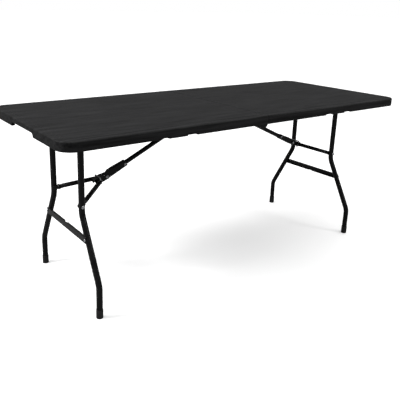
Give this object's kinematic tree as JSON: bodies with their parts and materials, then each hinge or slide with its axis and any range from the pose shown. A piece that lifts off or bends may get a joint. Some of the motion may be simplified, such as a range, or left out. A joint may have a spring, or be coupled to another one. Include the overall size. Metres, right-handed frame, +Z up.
{
  "type": "folding table",
  "caption": "Rectangular moulded-plastic folding table: halves hinged at a middle seam, folding wishbone tube legs with lower stretchers, V braces and sliding lock bails.",
  "frame": {"origin": "on the floor, under the middle of the tabletop", "axes": "+X along the length of the top, towards the right half; -Y towards the front; +Z up"},
  "size_m": [1.8, 0.74, 0.74],
  "materials": {
    "moulded_top": "fine-textured moulded polyethylene with a faint wood grain",
    "powder_coated_steel": "hammered dark powder coat",
    "zinc_plated_steel": "zinc plated",
    "black_plastic": "moulded plastic"
  },
  "bodies": {
    "handle": {"handle": "black_plastic"},
    "left_top": {"handle_bracket_inner": "powder_coated_steel", "handle_bracket_outer": "powder_coated_steel", "handle_pin_inner": "zinc_plated_steel", "handle_pin_outer": "zinc_plated_steel", "hinge_pin_back": "zinc_plated_steel", "hinge_pin_front": "zinc_plated_steel", "left_anchor_bracket_back": "powder_coated_steel", "left_anchor_bracket_front": "powder_coated_steel", "left_anchor_pin": "zinc_plated_steel", "left_hinge_leaf_back": "powder_coated_steel", "left_hinge_leaf_front": "powder_coated_steel", "left_pivot_bushes": "black_plastic", "left_rail_back": "powder_coated_steel", "left_rail_front": "powder_coated_steel", "left_top": "moulded_top"},
    "left_brace": {"left_brace_channel": "powder_coated_steel", "left_brace_tube": "powder_coated_steel", "left_channel_rivet": "zinc_plated_steel"},
    "left_leg": {"left_foot_back": "black_plastic", "left_foot_front": "black_plastic", "left_knee_rivets": "zinc_plated_steel", "left_leg_back": "powder_coated_steel", "left_leg_front": "powder_coated_steel", "left_pivot_tube": "powder_coated_steel", "left_stretcher": "powder_coated_steel", "left_stretcher_rivets": "zinc_plated_steel"},
    "left_v": {"left_joint_rivet": "zinc_plated_steel", "left_v_arm_back": "powder_coated_steel", "left_v_arm_front": "powder_coated_steel", "left_v_neck": "powder_coated_steel"},
    "left_bail": {"left_lock_bail": "zinc_plated_steel"},
    "right_top": {"right_anchor_bracket_back": "powder_coated_steel", "right_anchor_bracket_front": "powder_coated_steel", "right_anchor_pin": "zinc_plated_steel", "right_hinge_leaf_back": "powder_coated_steel", "right_hinge_leaf_front": "powder_coated_steel", "right_pivot_bushes": "black_plastic", "right_rail_back": "powder_coated_steel", "right_rail_front": "powder_coated_steel", "right_top": "moulded_top"},
    "right_brace": {"right_brace_channel": "powder_coated_steel", "right_brace_tube": "powder_coated_steel", "right_channel_rivet": "zinc_plated_steel"},
    "right_leg": {"right_foot_back": "black_plastic", "right_foot_front": "black_plastic", "right_knee_rivets": "zinc_plated_steel", "right_leg_back": "powder_coated_steel", "right_leg_front": "powder_coated_steel", "right_pivot_tube": "powder_coated_steel", "right_stretcher": "powder_coated_steel", "right_stretcher_rivets": "zinc_plated_steel"},
    "right_v": {"right_joint_rivet": "zinc_plated_steel", "right_v_arm_back": "powder_coated_steel", "right_v_arm_front": "powder_coated_steel", "right_v_neck": "powder_coated_steel"},
    "right_bail": {"right_lock_bail": "zinc_plated_steel"}
  },
  "joints": [
    {"name": "panel_fold", "type": "hinge", "parent": "left_top", "child": "right_top", "pos_m": [0, 0, 0.7035], "axis": [0, 1, 0], "range_deg": [0, 90]},
    {"name": "left_leg_fold", "type": "hinge", "parent": "left_top", "child": "left_leg", "pos_m": [-0.73, 0, 0.717], "axis": [0, -1, 0], "range_deg": [0, 91.18]},
    {"name": "left_brace_turn", "type": "hinge", "parent": "left_top", "child": "left_brace", "pos_m": [-0.024, 0, 0.721], "axis": [0, 1, 0], "range_deg": [0, 24.33]},
    {"name": "left_v_turn", "type": "hinge", "parent": "left_brace", "child": "left_v", "pos_m": [-0.56046, 0, 0.47433], "axis": [0, -1, 0], "range_deg": [0, 186.68]},
    {"name": "left_bail_slide", "type": "slide", "parent": "left_v", "child": "left_bail", "axis": [0.9499, 0, 0.3126], "range_m": [0, 0.034]},
    {"name": "right_leg_fold", "type": "hinge", "parent": "right_top", "child": "right_leg", "pos_m": [0.73, 0, 0.717], "axis": [0, 1, 0], "range_deg": [0, 91.18]},
    {"name": "right_brace_turn", "type": "hinge", "parent": "right_top", "child": "right_brace", "pos_m": [0.024, 0, 0.721], "axis": [0, -1, 0], "range_deg": [0, 24.33]},
    {"name": "right_v_turn", "type": "hinge", "parent": "right_brace", "child": "right_v", "pos_m": [0.56046, 0, 0.47433], "axis": [0, 1, 0], "range_deg": [0, 186.68]},
    {"name": "right_bail_slide", "type": "slide", "parent": "right_v", "child": "right_bail", "axis": [-0.9499, 0, 0.3126], "range_m": [0, 0.034]},
    {"name": "handle_swing", "type": "hinge", "parent": "left_top", "child": "handle", "pos_m": [-0.45, -0.328, 0.708], "axis": [-1, 0, 0], "range_deg": [0, 180]}
  ],
  "couplings": [
    {"joint": "left_brace_turn", "follows": "left_leg_fold", "ratio": 0.26462},
    {"joint": "left_v_turn", "follows": "left_leg_fold", "ratio": 2.0452},
    {"joint": "right_brace_turn", "follows": "right_leg_fold", "ratio": 0.26462},
    {"joint": "right_v_turn", "follows": "right_leg_fold", "ratio": 2.0452}
  ]
}
